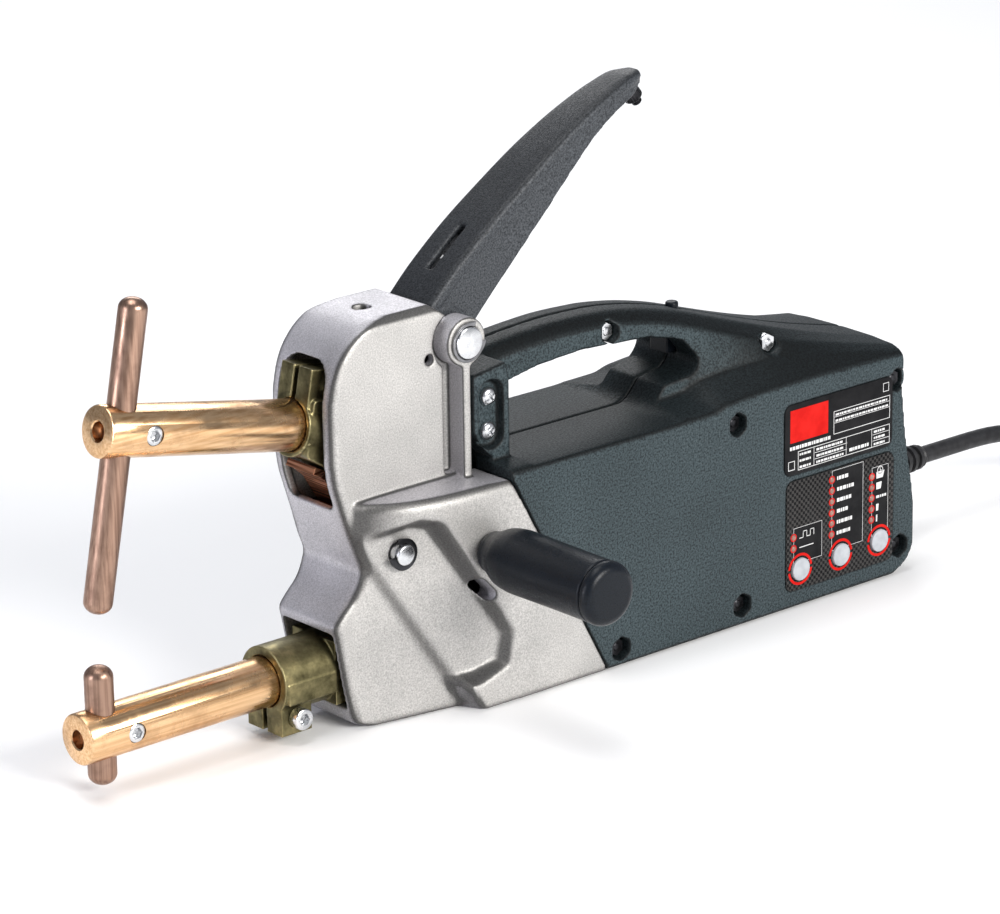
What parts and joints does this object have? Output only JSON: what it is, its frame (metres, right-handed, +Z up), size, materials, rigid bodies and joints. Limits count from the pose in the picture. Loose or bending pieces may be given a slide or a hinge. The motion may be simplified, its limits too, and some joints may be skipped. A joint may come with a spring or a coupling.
{
  "type": "portable spot welder",
  "caption": "Hand-held spot welding gun: two copper arms with electrodes, a closing lever, a carrying handle, a side grip, a control panel and a power cable with plug.",
  "frame": {"origin": "on the underside plane of the front casting, straight below the upper arm's pivot, in the middle plane", "axes": "-X points to the front, along the arms; +X is the rear, where the cable leaves; +Z is up; -Y is the side of the panel and the side grip"},
  "size_m": [0.7254, 0.1554, 0.249],
  "materials": {
    "cast_housing": "silver-grey casting paint with a fine sand grain",
    "shell_plastic": "anthracite, finely textured",
    "black_plastic": "black, satin",
    "arm_copper": "copper alloy, satin with tarnish",
    "clamp_brass": "cast copper alloy, satin",
    "electrode_copper": "copper, turned",
    "shunt_copper": "laminated copper strip",
    "zinc_steel": "bright zinc plated",
    "black_steel": "blackened",
    "spring_steel": "dark, oiled",
    "button_white": "white",
    "button_grey": "grey, domed",
    "panel_film": "dark woven pattern under a clear film",
    "plate_black": "black plate with plain pale lines",
    "light_red": "red light windows",
    "board_green": "circuit board",
    "core_steel": "laminated steel core",
    "winding_copper": "enamelled wire",
    "cable_rubber": "black rubber sheath"
  },
  "bodies": {
    "body": {"front_casting": "cast_housing", "body_shell_left": "shell_plastic", "body_shell_right": "shell_plastic", "lever_pin": "zinc_steel", "lever_pin_clip_left": "spring_steel", "lever_pin_clip_right": "spring_steel", "arm_pin": "zinc_steel", "arm_pin_clip_left": "black_steel", "arm_pin_clip_right": "black_steel", "lower_arm_holder": "clamp_brass", "lower_arm": "arm_copper", "lower_electrode": "electrode_copper", "lower_set_screw": "black_steel", "lower_clamp_screw": "zinc_steel", "flexible_shunt": "shunt_copper", "transformer_core": "core_steel", "primary_winding": "winding_copper", "secondary_turn": "shunt_copper", "start_switch": "black_plastic", "side_grip": "black_plastic", "side_grip_cap": "black_plastic", "side_grip_stud": "zinc_steel", "control_board": "board_green", "control_panel": "panel_film", "rating_plate": "plate_black", "light_guide": "light_red", "cable_gland": "black_plastic", "power_cable": "cable_rubber", "cable_coil": "cable_rubber", "cable_tie": "black_plastic", "mains_plug": "black_plastic", "flange_screw_left_1": "zinc_steel", "flange_screw_left_2": "zinc_steel", "flange_screw_right_1": "zinc_steel", "flange_screw_right_2": "zinc_steel", "shell_screw_1": "zinc_steel", "shell_screw_2": "zinc_steel", "shell_screw_3": "zinc_steel", "shell_screw_4": "zinc_steel", "shell_screw_5": "zinc_steel", "shell_screw_6": "zinc_steel", "shell_screw_7": "zinc_steel"},
    "lever": {"lever": "black_plastic", "link_pin_lever": "zinc_steel", "force_spring": "spring_steel"},
    "upper_arm_group": {"upper_arm_holder": "clamp_brass", "upper_arm": "arm_copper", "upper_electrode": "electrode_copper", "upper_set_screw": "black_steel", "upper_clamp_screw": "zinc_steel", "link_pin_arm": "zinc_steel"},
    "link": {"push_link": "zinc_steel"},
    "force_screw": {"force_screw": "zinc_steel"},
    "force_pointer": {"force_pointer": "button_white"},
    "adjuster": {"start_adjuster": "zinc_steel"},
    "start_button": {"start_button": "black_plastic"},
    "mode_button": {"mode_button": "button_grey"},
    "thickness_button": {"thickness_button": "button_grey"},
    "time_button": {"time_button": "button_grey"}
  },
  "joints": [
    {"name": "lever_hinge", "type": "hinge", "parent": "body", "child": "lever", "pos_m": [0.0383, 0, 0.158], "axis": [0, 1, 0], "range_deg": [0, 39], "stiffness_Nm_per_rad": 1, "springref_deg": -22.92},
    {"name": "upper_arm_hinge", "type": "hinge", "parent": "body", "child": "upper_arm_group", "pos_m": [0, 0, 0.0754], "axis": [0, 1, 0], "range_deg": [-8.58, 0], "deforming": ["flexible_shunt"]},
    {"name": "link_hinge", "type": "hinge", "parent": "upper_arm_group", "child": "link", "pos_m": [0.00544, 0, 0.1479], "axis": [0, 1, 0], "range_deg": [0, 8.58]},
    {"name": "force_screw_turn", "type": "hinge", "parent": "lever", "child": "force_screw", "pos_m": [0.04625, 0, 0.17659], "axis": [0.7789, 0, 0.6272], "range_deg": [-720, 720]},
    {"name": "force_pointer_slide", "type": "slide", "parent": "lever", "child": "force_pointer", "axis": [0.7789, 0, 0.6272], "range_m": [-0.005, 0.005]},
    {"name": "start_adjuster_turn", "type": "hinge", "parent": "lever", "child": "adjuster", "pos_m": [0.154, 0, 0.239], "axis": [-0.6293, 0, 0.7771], "range_deg": [-180, 180]},
    {"name": "start_button_press", "type": "slide", "parent": "body", "child": "start_button", "axis": [0, 0, -1], "range_m": [0, 0.002], "stiffness_N_per_m": 200, "springref_m": -0.001},
    {"name": "mode_button_press", "type": "slide", "parent": "body", "child": "mode_button", "axis": [0, 1, 0], "range_m": [0, 0.001], "stiffness_N_per_m": 200, "springref_m": -0.001},
    {"name": "thickness_button_press", "type": "slide", "parent": "body", "child": "thickness_button", "axis": [0, 1, 0], "range_m": [0, 0.001], "stiffness_N_per_m": 200, "springref_m": -0.001},
    {"name": "time_button_press", "type": "slide", "parent": "body", "child": "time_button", "axis": [0, 1, 0], "range_m": [0, 0.001], "stiffness_N_per_m": 200, "springref_m": -0.001}
  ],
  "couplings": [
    {"joint": "upper_arm_hinge", "follows": "lever_hinge", "ratio": -0.22},
    {"joint": "link_hinge", "follows": "lever_hinge", "ratio": 0.22},
    {"joint": "force_pointer_slide", "follows": "force_screw_turn", "m_per_rad": 0.00039789}
  ]
}
